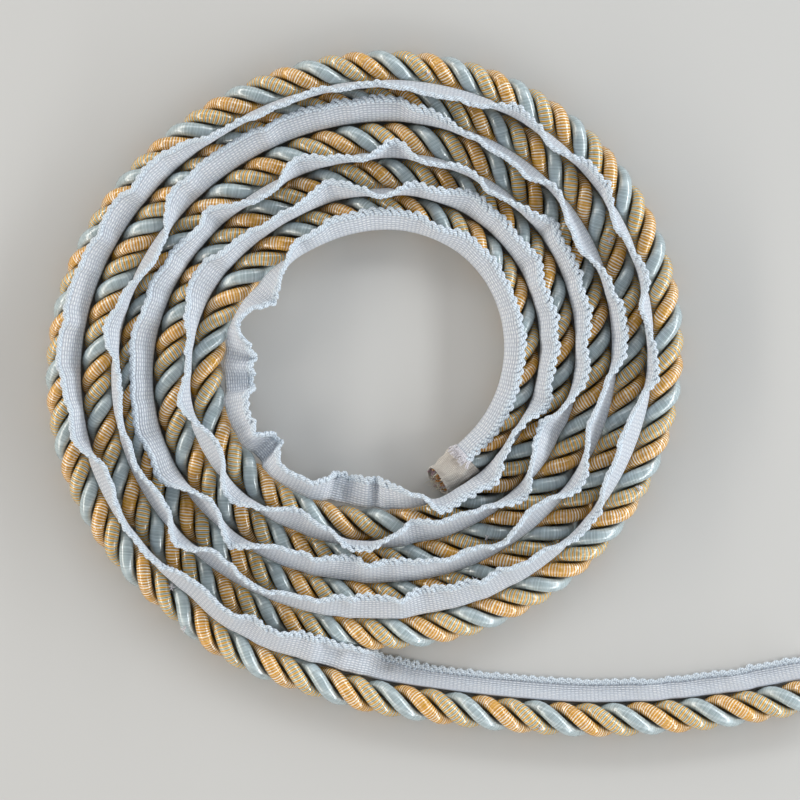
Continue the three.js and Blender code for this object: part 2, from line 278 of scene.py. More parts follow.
def smooth_through(points, per_span):
    """Centripetal Catmull-Rom curve: each span is the cubic through its two points whose
    end slopes weigh the neighbouring chords by the square roots of their lengths."""
    ends = np.vstack([2 * points[0] - points[1], points, 2 * points[-1] - points[-2]])
    before, low, high, after = ends[:-3], ends[1:-2], ends[2:-1], ends[3:]
    gap = np.sqrt(np.linalg.norm(np.diff(ends, axis=0), axis=1))[:, None]
    first, here, last = gap[:-2], gap[1:-1], gap[2:]
    leave = (low - before) / first - (high - before) / (first + here) + (high - low) / here
    arrive = (high - low) / here - (after - low) / (here + last) + (after - high) / last
    leave, arrive = (leave * here)[:, None], (arrive * here)[:, None]
    share = (np.arange(per_span) / per_span)[None, :, None]
    low, high = low[:, None], high[:, None]
    bend = 3 * (high - low) - 2 * leave - arrive
    turn = 2 * (low - high) + leave + arrive
    curve = low + leave * share + bend * share**2 + turn * share**3
    return np.vstack([curve.reshape(-1, 2), points[-1:]])


class Route:
    """The rope's middle at even spacing: distance along, place from the coil's centre,
    heading and winding angle."""

    def __init__(self):
        """Joins the coil and the tail in one curve, and marks it off at even spacing."""
        points = np.vstack([coil_points(), np.array(TAIL_MM)])
        raw = smooth_through(points, POINTS_PER_SPAN) * MM
        run = np.append(0, np.cumsum(np.linalg.norm(np.diff(raw, axis=0), axis=1)))
        self.length = run[-1]
        self.along = np.linspace(0, self.length, int(self.length / MARK_SPACING) + 1)
        self.centred = np.stack([np.interp(self.along, run, raw[:, i]) for i in (0, 1)], 1)
        heading = np.gradient(self.centred, self.along, axis=0)
        self.heading = heading / np.linalg.norm(heading, axis=1, keepdims=True)
        turned = np.unwrap(np.arctan2(self.centred[:, 1], self.centred[:, 0]))
        self.deg = np.degrees(turned - turned[0]) + START_DEG

    def at(self, along):
        """Place, outward side and winding angle at distances along the rope."""
        def pick(values):
            """Values at the distances asked for, straight between the nearest marks."""
            return np.interp(along, self.along, values)

        place = np.stack([pick(self.centred[:, i]) for i in (0, 1)], 1) + COIL_CENTRE
        heading = np.stack([pick(self.heading[:, i]) for i in (0, 1)], 1)
        heading /= np.linalg.norm(heading, axis=1, keepdims=True)
        outward = np.stack([heading[:, 1], -heading[:, 0]], 1)
        return place, outward, pick(self.deg)


def lift(place, outward, out, height):
    """Points out from the rope's middle along its outward side and up from the floor."""
    flat = place[:, None, :] + out[:, :, None] * outward[:, None, :]
    return np.concatenate([flat, height[:, :, None]], 2)


# Meshes

def grid_mesh(name, points, uv, materials, index=None, shut=True):
    """Mesh of tubes given as points by tube, ring and side. The last side joins the first,
    and one flat face shuts each end, in the last material. uv has one pair for each ring
    and side, and one side more to close the round. index is each tube's material."""
    tubes, rings, sides = points.shape[:3]
    tube, ring, side = np.meshgrid(np.arange(tubes), np.arange(rings - 1), np.arange(sides),
                                   indexing="ij")
    corners = [(ring, side), (ring, side + 1), (ring + 1, side + 1), (ring + 1, side)]
    quads = np.stack([(tube * rings + r) * sides + s % sides for r, s in corners], -1)
    pairs = np.stack([(tube * rings + r) * (sides + 1) + s for r, s in corners], -1)
    faces = quads.reshape(-1, 4).tolist()
    pairs = pairs.reshape(-1)
    kind = np.zeros(tubes, int) if index is None else np.asarray(index)
    kinds = np.repeat(kind, (rings - 1) * sides)
    if shut:
        first = np.arange(tubes)[:, None] * rings
        last = first + rings - 1
        round_once = np.arange(sides)[None, :]
        faces += (first * sides + round_once[:, ::-1]).tolist()
        faces += (last * sides + round_once).tolist()
        pairs = np.concatenate([pairs,
                                (first * (sides + 1) + round_once[:, ::-1]).reshape(-1),
                                (last * (sides + 1) + round_once).reshape(-1)])
        kinds = np.append(kinds, np.full(2 * tubes, len(materials) - 1))
    mesh = bpy.data.meshes.new(name)
    mesh.from_pydata(points.reshape(-1, 3), [], faces)
    layer = mesh.uv_layers.new(name="Surface")
    layer.data.foreach_set("uv", uv.reshape(-1, 2)[pairs].reshape(-1))
    for material in materials:
        mesh.materials.append(material)
    mesh.polygons.foreach_set("use_smooth", np.ones(len(faces), bool))
    mesh.polygons.foreach_set("material_index", kinds)
    mesh.update()
    piece = bpy.data.objects.new(name, mesh)
    bpy.context.collection.objects.link(piece)
    return piece


def tubes(name, paths, radius, sides, beside, materials, index=None):
    """Round tubes along paths, given as points by tube and ring. Each ring lies square to
    the run, starting from the side that is square to beside. uv is share round, and
    millimetres along."""
    run = np.gradient(paths, axis=1)
    run /= np.maximum(np.linalg.norm(run, axis=2, keepdims=True), TINY)
    side = np.cross(run, beside)
    side /= np.maximum(np.linalg.norm(side, axis=2, keepdims=True), TINY)
    other = np.cross(run, side)
    around = np.linspace(0, 2 * math.pi, sides + 1)
    ring = around[None, None, :-1, None]
    width = np.broadcast_to(radius, paths.shape[:2])[:, :, None, None]
    points = (paths[:, :, None] + width * (np.cos(ring) * side[:, :, None]
                                           + np.sin(ring) * other[:, :, None]))
    step = np.linalg.norm(np.diff(paths, axis=1), axis=2)
    length = np.concatenate([np.zeros((len(paths), 1)), np.cumsum(step, axis=1)], 1) / MM
    uv = np.stack(np.broadcast_arrays(around[None, None] / (2 * math.pi),
                                      length[:, :, None]), -1)
    return grid_mesh(name, points, uv, materials, index)


def join(name, pieces):
    """One mesh object of several, with their materials kept."""
    bpy.ops.object.select_all(action="DESELECT")
    for piece in pieces:
        piece.select_set(True)
    bpy.context.view_layer.objects.active = pieces[0]
    bpy.ops.object.join()
    joined = bpy.context.view_layer.objects.active
    joined.name = name
    joined.data.name = name
    return joined


# Rope

def ply(route, number, material, cut):
    """Tube about a helix: the ply's middle turns right-handed about the rope's middle, one
    turn a lay and as much more or less as TWIST says, and its ring lies square to its own
    run. It is drawn in where it is bound. uv is share round, millimetres along."""
    rings = int((route.length - ROPE_START) / LAY * ROPE_RINGS_PER_LAY)
    along = np.linspace(ROPE_START, route.length, rings)
    place, outward, _ = route.at(along)
    extra = np.interp(along / MM, *np.array(TWIST, float).T)
    turn = np.radians(extra + 360 * number / 3) - 2 * math.pi * along / LAY
    out, up = np.cos(turn), np.sin(turn)
    rays = np.concatenate([outward * out[:, None], up[:, None]], 1)
    middle = np.concatenate([place, np.full((rings, 1), ROPE_HEIGHT)], 1)
    from_end = TAIL_TIP + (1 - TAIL_TIP) * (route.length - along) / TAIL_ROUNDING
    from_end = np.minimum(1, from_end)
    size = (1 - BOUND_SQUEEZE * np.exp((ROPE_START - along) / BOUND_LENGTH))[:, None]
    middle += PLY_OFFSET * size * rays
    run = np.gradient(middle, axis=0)
    run /= np.linalg.norm(run, axis=1, keepdims=True)
    across = np.cross(run, rays)
    around = np.linspace(-math.pi, math.pi, PLY_SIDES + 1)
    ring = around[None, :-1, None]
    radius = PLY_RADIUS * size[:, :, None] * from_end[:, None, None]
    points = middle[:, None] + radius * (np.cos(ring) * rays[:, None]
                                         + np.sin(ring) * across[:, None])
    points[:, :, 2] = np.maximum(points[:, :, 2], 0.0)
    length = np.append(0, np.cumsum(np.linalg.norm(np.diff(middle, axis=0), axis=1))) / MM
    uv = np.stack(np.broadcast_arrays(around[None, :] / (2 * math.pi) + 0.5,
                                      length[:, None]), -1)
    return grid_mesh(f"Ply_{number}", points[None], uv, [material, cut])


# Lip

def smooth_step(value, low, high):
    """Ease from 0 at low to 1 at high: three squares of the share less two cubes."""
    share = np.clip((value - low) / (high - low), 0, 1)
    return share * share * (3 - 2 * share)


def neighbour_distance(route, place, outward, along, side):
    """Distance to the nearest stretch of another turn on one side, infinite past range."""
    marks = route.centred[::NEIGHBOUR_STEP] + COIL_CENTRE
    marks_along = route.along[None, ::NEIGHBOUR_STEP]
    offset = marks[None] - place[:, None]
    distance = np.linalg.norm(offset, axis=2)
    beside = (offset * outward[:, None]).sum(2) * side > 0
    elsewhere = np.abs(marks_along - along[:, None]) > NEIGHBOUR_RANGE
    near = distance < NEIGHBOUR_RANGE
    return np.where(beside & elsewhere & near, distance, np.inf).min(1)


def fold_reach(deg):
    """Reach of the free edge by winding angle, eased from each fold to the next."""
    marks = sorted((d + 360 * (TURNS - turn), r) for turn in FOLDS for d, r in FOLDS[turn])
    degs, reaches = np.array(marks).T
    index = np.clip(np.searchsorted(degs, deg), 1, len(degs) - 1)
    ease = smooth_step(deg, degs[index - 1], degs[index])
    return (reaches[index - 1] * (1 - ease) + reaches[index] * ease) * MM


def ruffle(along):
    """Small uneven waves of the free edge, a sum of sines of unrelated lengths."""
    return sum(depth * MM * np.sin(2 * math.pi * along / (wave * MM) + phase)
               for depth, wave, phase in RUFFLES)


def slack(along):
    """How far the tape bellies off the rope where nothing presses it: an even part and a
    sum of sines of unrelated lengths, never under nothing."""
    waves = sum(share * np.sin(along / (wave * MM) + phase)
                for share, wave, phase in SLACK_WAVES)
    return np.maximum(SLACK + SLACK_DEPTH * waves, 0)


def clear_of(out, up, ropes, clear):
    """Moves points off the ropes beside them, square to their surface, and off the floor."""
    for rope in ropes:
        aside, above = out - rope, up - ROPE_HEIGHT
        distance = np.hypot(aside, above)
        push = np.where(distance < clear, clear / np.maximum(distance, TINY), 1.0)
        out = np.where(push > 1, rope + aside * push, out)
        up = np.where(push > 1, ROPE_HEIGHT + above * push, up)
    return out, np.maximum(up, LIP_THICKNESS / 2 + LIP_GAP)


def lip_middle(route, along):
    """The tape's middle in each section, marched from root to edge in even steps whose
    slope runs from the pose's first to its last, sliding along ropes and the floor. Its
    root is raised to where the turn on its inner side leaves room, its reach stops
    LIP_ROOM short of the next turn's, and round the hole it bellies off by the slack."""
    place, outward, deg = route.at(along)
    inner = neighbour_distance(route, place, outward, along, -1)
    outer = neighbour_distance(route, place, outward, along, 1)
    reach = fold_reach(deg) + ruffle(along)
    next_out = fold_reach(deg + 360) + np.where(np.isfinite(outer), outer, 1.0) - LIP_ROOM
    reach = np.minimum(reach, next_out) / MM
    rise, root, edge = (np.interp(reach, POSES[:, 0], POSES[:, i]) for i in (1, 2, 3))
    laid = np.where(deg > COIL_END_DEG, smooth_step(inner, LAID_FROM, LAID_FULL), 0)
    hole_side = np.where((deg < 360) & (inner > LAID_FULL), 1, 0)
    snug = ROPE_RADIUS + LIP_GAP + LIP_THICKNESS / 2
    clear = snug + slack(along) * hole_side
    drop = LIP_WIDTH + ROPE_RADIUS + reach * MM - ROPE_HEIGHT
    laid_rise = np.degrees(np.arcsin(np.clip(drop / clear, *LAID_SINES)))
    rise, root, edge = (value * (1 - laid) + flat * laid
                        for value, flat in zip((rise, root, edge), (laid_rise, *LAID_SLOPES)))
    wedge = np.arccos(np.minimum(1, np.where(np.isfinite(inner), inner, 1.0) / 2 / clear))
    rise = np.maximum(np.radians(rise), wedge)
    ropes = [np.zeros_like(along),
             np.where(np.isfinite(inner), -inner, -FAR_OFF),
             np.where(np.isfinite(outer), outer, FAR_OFF)]
    out, up = -snug * np.cos(rise), ROPE_HEIGHT + snug * np.sin(rise)
    stride = LIP_WIDTH / MARCH_STEPS
    outs, ups = [out], [up]
    for step in range(MARCH_STEPS):
        slope = np.radians(root + (edge - root) * (step + 0.5) / MARCH_STEPS)
        room = snug + (clear - snug) * smooth_step(step, 0, SLACK_STEPS)
        next_o, next_u = clear_of(out + stride * np.sin(slope),
                                  up + stride * np.cos(slope), ropes, room)
        scale = stride / np.maximum(np.hypot(next_o - out, next_u - up), TINY)
        out, up = clear_of(out + (next_o - out) * scale, up + (next_u - up) * scale,
                           ropes, room)
        outs.append(out)
        ups.append(up)
    return place, outward, np.stack(outs, 1), np.stack(ups, 1)


def lip_surface(route):
    """The tape's middle surface with its loops' width, as points by station and step
    across, and the normals there: the run across turned a quarter in each section."""
    along = np.arange(LIP_START, route.length, LIP_STEP)
    place, outward, outs, ups = lip_middle(route, along)
    d_out, d_up = np.gradient(outs, axis=1), np.gradient(ups, axis=1)
    size = np.maximum(np.hypot(d_out, d_up), TINY)
    flat = np.zeros((len(along), 2))
    middle = lift(place, outward, outs, ups)
    normal = lift(flat, outward, -d_up / size, d_out / size)
    return middle, normal


def lip_sheet(middle, normal, material):
    """Closed strip: the middle surface offset half the thickness to each side, joined
    round its root and its free edge. uv is millimetres across and along. The strip's
    length comes back with it."""
    woven = WOVEN_WIDTH / LIP_WIDTH * MARCH_STEPS
    keep = np.linspace(0, woven, LIP_COLUMNS).round().astype(int)
    half = LIP_THICKNESS / 2
    upper = middle[:, keep] + half * normal[:, keep]
    lower = middle[:, keep] - half * normal[:, keep]
    points = np.concatenate([upper, lower[:, ::-1]], 1)
    points[:, :, 2] = np.maximum(points[:, :, 2], 0.0)
    across = keep * LIP_WIDTH / MARCH_STEPS / MM
    there_and_back = np.concatenate([across, across[::-1], across[:1]])
    step = np.linalg.norm(np.diff(middle[:, 0], axis=0), axis=1)
    run = np.append(0, np.cumsum(step)) / MM
    uv = np.stack(np.broadcast_arrays(there_and_back[None, :], run[:, None]), -1)
    return grid_mesh("Woven_lip", points[None], uv, [material]), run[-1] * MM


def between(grid, row, column):
    """Values of a grid at fractional rows and columns, mixed from the four about them."""
    i = np.clip(row.astype(int), 0, grid.shape[0] - 2)
    j = np.clip(column.astype(int), 0, grid.shape[1] - 2)
    a, b = (row - i)[:, None], (column - j)[:, None]
    near = grid[i, j] * (1 - b) + grid[i, j + 1] * b
    far = grid[i + 1, j] * (1 - b) + grid[i + 1, j + 1] * b
    return near * (1 - a) + far * a


def pressed_loops(root, edge):
    """How far the loops are pressed short: 1 on the coil's left side where the lip's edge
    lies further out than its root, less along the tail, falling to 0 elsewhere."""
    far = edge[:, :2] - COIL_CENTRE
    side = np.degrees(np.arctan2(far[:, 1], far[:, 0])) % 360
    radius = np.linalg.norm(far, axis=1)
    outward = radius - np.linalg.norm(root[:, :2] - COIL_CENTRE, axis=1)
    left = smooth_step(side, *PRESSED_FROM_DEG) * (1 - smooth_step(side, *PRESSED_TO_DEG))
    tail = PRESSED_TAIL * smooth_step(radius, *PRESSED_TAIL_RADIUS)
    return np.maximum(left * smooth_step(outward, *PRESSED_OUTWARD), tail)


def looped_edge(middle, normal, material):
    """Two thick yarns that run along the woven edge in leaning loops, the second half a
    spacing behind and lower, so that it fills the notches. Each goes on by one spacing a
    loop with a swell that rounds its top, out by a cosine, and in and out of the tape's
    face. Each loop differs a little in height, lean and lift."""
    stride = LIP_WIDTH / MARCH_STEPS
    edge = between(middle, np.arange(len(middle) - 1.0),
                   np.full(len(middle) - 1, WOVEN_WIDTH / stride))
    run = np.append(0, np.cumsum(np.linalg.norm(np.diff(edge, axis=0), axis=1)))
    pressed = pressed_loops(middle[:-1, 0], edge)
    loops = int(run[-1] / LOOP_SPACING)
    turns = np.linspace(0, loops, loops * LOOP_POINTS + 1)
    whole = np.minimum(turns.astype(int), loops)
    rng = np.random.default_rng(7)
    tall, lean, lifted = rng.standard_normal((3, loops + 1))
    paths, faces = [], []
    for behind, most in ((0, LOOP_HEIGHT), (0.5, FILLING_HEIGHT)):
        swing = 2 * math.pi * (turns + behind)
        out = 0.5 - 0.5 * np.cos(swing)
        on = (turns + LOOP_SWELL * np.sin(swing)
              + (LOOP_LEAN + LEAN_SPREAD * lean[whole]) * out) * LOOP_SPACING
        station = np.interp(on, run, np.arange(len(run)))
        calm = 1 - PRESSED_SHARE * np.interp(on, run, pressed)
        height = most * (1 + TALL_SPREAD * tall[whole]) * calm
        column = (WOVEN_WIDTH - LOOP_FOOT * calm + height * out) / stride
        face = between(normal, station, column)
        path = between(middle, station, column)
        off = (LOOP_FACE_SWING * np.sin(swing) + LIFT_SPREAD * lifted[whole] * out) * calm
        path += face * off[:, None]
        path[:, 2] = np.maximum(path[:, 2], LOOP_YARN_RADIUS)
        paths.append(path)
        faces.append(face)
    return tubes("Looped_edge", np.stack(paths), LOOP_YARN_RADIUS, LOOP_SIDES,
                 np.stack(faces), [material])


def frayed_start(middle, normal, material):
    """Loose ends of the tape's lengthwise threads where it was cut. Each starts in the
    lip's first section, runs back over the cuff and strays aside by a square."""
    rng = np.random.default_rng(3)
    rings = 6
    column = rng.uniform(0, MARCH_STEPS * 0.9, FRAY_COUNT)
    start = np.full(FRAY_COUNT, FRAY_STATION)
    root, face = between(middle, start, column), between(normal, start, column)
    back = root - between(middle, start + 1.5, column)
    back /= np.linalg.norm(back, axis=1, keepdims=True)
    aside = np.cross(back, face)
    share = np.linspace(0, 1, rings)[None, :, None]
    length = rng.uniform(1.2, 3.4, (FRAY_COUNT, 1, 1)) * MM
    sway, rise = rng.uniform(-1, 1, (2, FRAY_COUNT, 1, 1)) * MM
    paths = (root[:, None] + back[:, None] * length * share + aside[:, None] * sway * share**2
             + face[:, None] * (FRAY_LIFT + np.abs(rise) * share))
    along_face = np.broadcast_to(face[:, None], paths.shape)
    return tubes("Frayed_start", paths, FRAY_RADIUS, 5, along_face, [material])


# Cuff and loose threads

def along_start(route, back, out, height):
    """Points near the rope's inner end: back from it, out along its side, and up."""
    place, outward, _ = route.at(np.zeros(1))
    behind = np.array([outward[0, 1], -outward[0, 0]])
    flat = place[0] + back[..., None] * behind + out[..., None] * outward[0]
    return np.concatenate([flat, height[..., None]], -1)


def gauze_cuff(route, material):
    """Rounded box section carried along the first of the rope's route, with lengthwise
    gathers as a ripple round it and slack bulges along it. The section is an ellipse whose
    cosine and sine are drawn out towards a box by a power."""
    def boxy(value):
        """A cosine or sine drawn out towards 1: its size to a power under 1, sign kept."""
        return np.sign(value) * np.abs(value) ** CUFF_SQUARENESS

    rings, sides = 44, 90
    along = np.linspace(-CUFF_BEFORE, CUFF_LENGTH + CUFF_PAST, rings)
    place, outward, _ = route.at(np.clip(along, 0, None))
    back = np.stack([-outward[:, 1], outward[:, 0]], 1)
    place = place + np.minimum(along, 0)[:, None] * back
    around = np.linspace(0, -2 * math.pi, sides + 1)
    ring = around[None, :-1]
    share = np.linspace(0, 1, rings)[:, None]
    gathers = (0.15 * np.sin(13 * ring + 2.2 * np.sin(5 * share)) * (0.4 + 0.6 * share)
               + 0.1 * np.sin(29 * ring + 7 * share) + 0.22 * np.sin(3 * ring + 6 * share)
               + 0.1 * np.sin(18 * share + 2 * ring))
    close = CUFF_MOUTH + (1 - CUFF_MOUTH) * smooth_step(share, 0, 0.8)
    out = (CUFF_WIDTH / 2 * close + gathers * MM) * boxy(np.cos(ring)) - CUFF_INWARD
    up = CUFF_HEIGHT / 2 * close * (1 + boxy(np.sin(ring))) + gathers * MM * np.sin(ring)
    points = lift(place, outward, out, np.maximum(up, 0.0))
    slant = CUFF_SLANT * (1 - share)**3 * up / CUFF_HEIGHT
    points[:, :, :2] += slant[:, :, None] * back[:, None]
    uv = np.stack(np.broadcast_arrays(around[None, :] * -CUFF_WIDTH / 2 / MM,
                                      along[:, None] / MM), -1)
    cuff = grid_mesh("Gauze_cuff", points[None], uv, [material], shut=False)
    solid = cuff.modifiers.new("Thickness", "SOLIDIFY")
    solid.thickness = GAUZE_THICKNESS
    solid.offset = -1
    return cuff


def cut_yarns(route, materials):
    """Yarn ends packed evenly in the cuff's mouth, each a short bent tube, and a few fine
    hairs that curl out of it. Places follow a sunflower spiral."""
    rng = np.random.default_rng(11)
    rings = 7
    number = np.arange(YARN_COUNT + HAIR_COUNT)
    spread = np.sqrt((number % YARN_COUNT + 0.5) / YARN_COUNT) * MOUTH_RADIUS
    angle = np.radians(SUNFLOWER_DEG * number)
    fine = number >= YARN_COUNT
    reach = np.where(fine, rng.uniform(2, 4, len(number)), rng.uniform(0.5, 1.7, len(number)))
    share = np.linspace(0, 1, rings)[None, :]
    sway = rng.uniform(-0.8, 0.8, (2, len(number), 1)) * np.where(fine, 2.4, 0.7)[:, None]
    out = (spread * np.cos(angle))[:, None] - CUFF_INWARD + sway[0] * share**2 * MM
    height = (CUFF_MOUTH * CUFF_HEIGHT / 2 + (spread * np.sin(angle))[:, None]
              + sway[1] * share**2 * MM)
    back = (-2.6 + (2 + reach[:, None]) * share) * MM - CUFF_SLANT * height / CUFF_HEIGHT
    radius = np.where(fine, HAIR_RADIUS_MM, YARN_RADIUS_MM)[:, None] * MM
    radius = radius * (1 - 0.25 * share**3)
    paths = along_start(route, back, out, np.maximum(height, radius))
    kinds = np.where(fine, 2, rng.integers(0, 3, len(number)))
    up = np.broadcast_to(np.array([0.0, 0.0, 1.0]), paths.shape)
    return tubes("Cut_yarns", paths, radius, 6, up, materials, kinds)


def stray_threads(route, material):
    """Short curled fibres caught on the rope, in small tufts at the places where the rope
    is rubbed, each fibre an arc that leaves the rope's crown and bends back."""
    rng = np.random.default_rng(5)
    rings = 9
    along, out, count = np.array(TUFTS, float).T
    pick = np.repeat(np.arange(len(TUFTS)), count.astype(int))
    place, outward, _ = route.at(along[pick] * MM)
    heading = np.stack([-outward[:, 1], outward[:, 0]], 1)
    share = np.linspace(0, 1, rings)[None, :]
    size = rng.uniform(1.2, 2.6, (len(pick), 1))
    way = rng.uniform(-math.pi, math.pi, (len(pick), 1))
    curl = rng.uniform(-2.4, 2.4, (len(pick), 1))
    reach = size * (share - 0.5) * MM
    run = reach * np.cos(way + curl * share)
    side = reach * np.sin(way + curl * share) + out[pick][:, None] * MM
    crown = np.sqrt(np.maximum((ROPE_RADIUS * TUFT_SINK)**2 - side**2, 0))
    lifted = rng.uniform(0, 0.5, (len(pick), 1)) * MM * np.sin(math.pi * share)
    flat = (place[:, None] + run[:, :, None] * heading[:, None]
            + side[:, :, None] * outward[:, None])
    paths = np.concatenate([flat, (ROPE_HEIGHT + crown + lifted)[:, :, None]], 2)
    up = np.broadcast_to(np.array([0.0, 0.0, 1.0]), paths.shape)
    return tubes("Stray_threads", paths, TUFT_RADIUS, 5, up, [material])


# Materials

class Shader:
    """A material with a Principled shader, and short calls that add and join nodes."""

    def __init__(self, name, tree=None, **constants):
        """Starts a new material with those constants on its sockets, or works in a tree."""
        if tree is None:
            self.material = bpy.data.materials.new(name)
            self.material.use_nodes = True
            tree = self.material.node_tree
            self.principled = tree.nodes["Principled BSDF"]
            for socket, value in constants.items():
                self.principled.inputs[socket.replace("_", " ")].default_value = value
        self.tree = tree

    def node(self, kind, inputs=(), **settings):
        """Adds a node with its settings, and sets or joins the sockets named in inputs."""
        made = self.tree.nodes.new(kind)
        for key, value in settings.items():
            setattr(made, key, value)
        for socket, value in dict(inputs).items():
            if isinstance(value, bpy.types.NodeSocket):
                self.tree.links.new(value, made.inputs[socket])
            else:
                made.inputs[socket].default_value = value
        return made

    def math(self, operation, a, b=0.0):
        """One sum, product or other operation on two numbers."""
        return self.node("ShaderNodeMath", {0: a, 1: b}, operation=operation).outputs[0]

    def ramp(self, value, low, high, first=0.0, last=1.0):
        """Eases from first at low to last at high."""
        return self.node("ShaderNodeMapRange", {0: value, 1: low, 2: high, 3: first, 4: last},
                         interpolation_type="SMOOTHSTEP").outputs[0]

    def mix(self, share, first, second, blend="MIX"):
        """Two colours blended by a share of the second."""
        made = self.node("ShaderNodeMix", {0: share, 6: first, 7: second},
                         data_type="RGBA", blend_type=blend)
        return made.outputs[2]

    def surface(self):
        """The two halves of the piece's own uv: round or across it, and along it."""
        uv = self.node("ShaderNodeUVMap", uv_map="Surface")
        parts = self.node("ShaderNodeSeparateXYZ", {0: uv.outputs[0]})
        return parts.outputs[0], parts.outputs[1]

    def finish(self, colour, height=None, depth=0.0001):
        """Joins the colour, and a bump of that depth where there is a height."""
        self.tree.links.new(colour, self.principled.inputs["Base Color"])
        if height is not None:
            bump = self.node("ShaderNodeBump", {"Distance": depth, "Height": height})
            self.tree.links.new(bump.outputs[0], self.principled.inputs["Normal"])
        return self.material


def new_group(name, inputs, outputs):
    """Shader node group with named number inputs and outputs."""
    tree = bpy.data.node_groups.new(name, "ShaderNodeTree")
    for label, value in inputs.items():
        socket = tree.interface.new_socket(name=label, in_out="INPUT",
                                           socket_type="NodeSocketFloat")
        socket.default_value = value
    for label in outputs:
        tree.interface.new_socket(name=label, in_out="OUTPUT", socket_type="NodeSocketFloat")
    shader = Shader(name, tree)
    source = shader.node("NodeGroupInput")
    sink = shader.node("NodeGroupOutput")
    return tree, shader, source.outputs, sink.inputs


def wrapped_yarn_group():
    """Yarn wound round a ply: which wind a point lies in, its place across it, and the
    round height of the yarn. Winds lean by Lean millimetres a turn and wander a little.
    The last output is 1 on the ply's outer side and falls to 0 where it lies against the
    others; it masks the painted shade in the grooves between plies."""
    tree, s, given, out = new_group(
        "Wrapped_yarn", {"Spacing": 1.0, "Lean": 0.8, "Wander": 0.3},
        ["Share", "Wind", "Height", "Unshaded_share"])
    around, along = s.surface()
    wander = s.node("ShaderNodeTexNoise", {"W": s.math("MULTIPLY", along, 0.23), "Scale": 1.0,
                                           "Detail": 2.0}, noise_dimensions="1D").outputs[0]
    leaning = s.math("ADD", along, s.math("MULTIPLY", around, given["Lean"]))
    phase = s.math("ADD", s.math("DIVIDE", leaning, given["Spacing"]),
                   s.math("MULTIPLY", wander, given["Wander"]))
    share = s.math("FRACT", phase)
    s.tree.links.new(share, out["Share"])
    s.tree.links.new(s.math("FLOOR", phase), out["Wind"])
    s.tree.links.new(s.math("SINE", s.math("MULTIPLY", share, math.pi)), out["Height"])
    away = s.math("ABSOLUTE", s.math("SUBTRACT", around, 0.5))
    s.tree.links.new(s.ramp(away, 0.21, 0.3, 1.0, 0.0), out["Unshaded_share"])
    return tree


def weave_group():
    """Plain weave: two crossed sets of rounded threads that pass over each other, one set
    a little higher. Height is the upper thread's."""
    tree, s, given, out = new_group("Plain_weave", {"Across": 0.55, "Along": 0.6}, ["Height"])
    across, along = s.surface()
    x = s.math("DIVIDE", across, given["Across"])
    y = s.math("DIVIDE", along, given["Along"])
    odd = s.math("MODULO", s.math("ADD", s.math("FLOOR", x), s.math("FLOOR", y)), 2.0)
    warp = s.math("SINE", s.math("MULTIPLY", s.math("FRACT", x), math.pi))
    weft = s.math("SINE", s.math("MULTIPLY", s.math("FRACT", y), math.pi))
    round_top = s.math("MULTIPLY", warp, s.math("ADD", s.math("MULTIPLY", weft, 0.5), 0.5))
    height = s.math("MULTIPLY", round_top, s.ramp(odd, 0.0, 1.0, 0.8, 1.0))
    s.tree.links.new(height, out["Height"])
    return tree


def colour(r, g, b):
    """Linear colour from one picked as 0 to 255."""
    picked = [value / 255 for value in (r, g, b)]
    linear = [c / 12.92 if c < 0.0405 else ((c + 0.055) / 1.055) ** 2.4 for c in picked]
    return (*linear, 1.0)


def satin_ply(name, wraps, spacing, bands, roughness, rib_depth, spread=0.2, patchy=0.0):
    """Satin yarn round a ply. bands is a list of a start share and a colour; each band
    runs to the next start, and spread shifts the bands from wind to wind. Where patchy is
    over 0, slow noise along the ply covers stretches in the first colour."""
    s = Shader(name, Roughness=roughness, Specular_IOR_Level=1.0,
               Coat_Weight=1.0, Coat_Roughness=SATIN_COAT_ROUGHNESS)
    winds = s.node("ShaderNodeGroup", {"Spacing": spacing}, node_tree=wraps)
    ribs = s.node("ShaderNodeGroup", {"Spacing": RIB_SPACING_MM, "Wander": RIB_WANDER},
                  node_tree=wraps)
    drawn = s.node("ShaderNodeTexWhiteNoise", {"W": winds.outputs["Wind"]},
                   noise_dimensions="1D").outputs[0]
    shift = s.math("MULTIPLY", s.math("SUBTRACT", drawn, 0.5), spread)
    share = s.math("ADD", winds.outputs["Share"], shift)
    tone = bands[0][1]
    for start, band in bands[1:]:
        tone = s.mix(s.ramp(share, start - BAND_BLUR, start + BAND_BLUR), tone, band)
    tone = s.mix(s.ramp(winds.outputs["Share"], 1 - BAND_BLUR, 1.0), tone, bands[0][1])
    if patchy:
        _, along = s.surface()
        slow = s.node("ShaderNodeTexNoise", {"W": s.math("MULTIPLY", along, 0.3), "Detail": 1.0,
                                             "Scale": 1.0}, noise_dimensions="1D").outputs[0]
        tone = s.mix(s.ramp(slow, 0.56, 0.7, 0.0, patchy), tone, bands[0][1])
    strand = s.node("ShaderNodeTexWhiteNoise", {"W": ribs.outputs["Wind"]},
                    noise_dimensions="1D").outputs[0]
    # Random tone from strand to strand, times painted shade in the hollows between the fine
    # ribs.
    lit = s.math("MULTIPLY", s.ramp(strand, 0.0, 1.0, 0.84, 1.08),
                 s.ramp(ribs.outputs["Height"], 0.0, 0.8, 0.72, 1.0))
    # Painted shade: the ply darkens to 0.3 of its colour where it lies against the others, in
    # the grooves between plies.
    shade = s.math("MULTIPLY", lit, s.ramp(winds.outputs["Unshaded_share"], 0.0, 1.0, 0.3, 1.0))
    grey = s.node("ShaderNodeCombineColor", {0: shade, 1: shade, 2: shade}).outputs[0]
    tone = s.mix(1.0, tone, grey, "MULTIPLY")
    return s.finish(tone, ribs.outputs["Height"], rib_depth)


